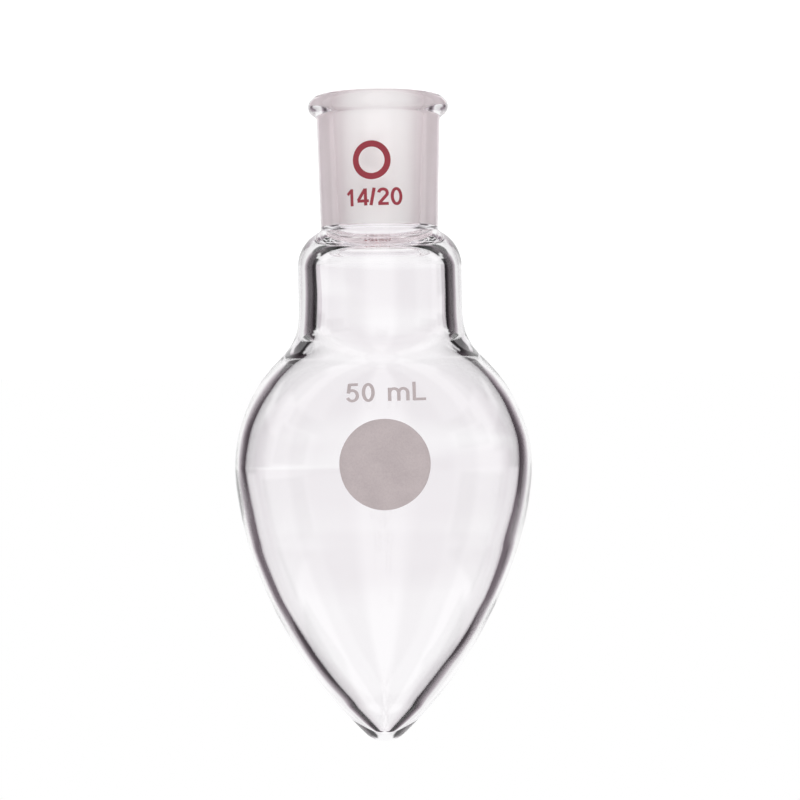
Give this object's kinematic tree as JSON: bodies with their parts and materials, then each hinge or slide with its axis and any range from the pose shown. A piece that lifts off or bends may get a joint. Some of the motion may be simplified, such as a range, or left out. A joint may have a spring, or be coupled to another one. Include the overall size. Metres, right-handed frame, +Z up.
{
  "type": "pear-shaped flask",
  "caption": "Small pear-shaped glass flask with a pointed bottom, a short neck and a ground taper socket, upside down on its mouth.",
  "frame": {"origin": "middle of the mouth, in the plane of the rim, on the surface that the flask stands on", "axes": "+Z up along the flask's own axis, from the mouth to the pointed bottom; the marked front faces -Y"},
  "size_m": [0.0462, 0.0463, 0.1007],
  "materials": {
    "glass": "clear, fire-polished blown borosilicate glass, with the inside of the socket ground to an even frost",
    "marking_enamel": "matt warm grey enamel, fired on, for writing on"
  },
  "bodies": {
    "root": {"flask": "glass", "marking_spot": "marking_enamel"}
  },
  "joints": []
}
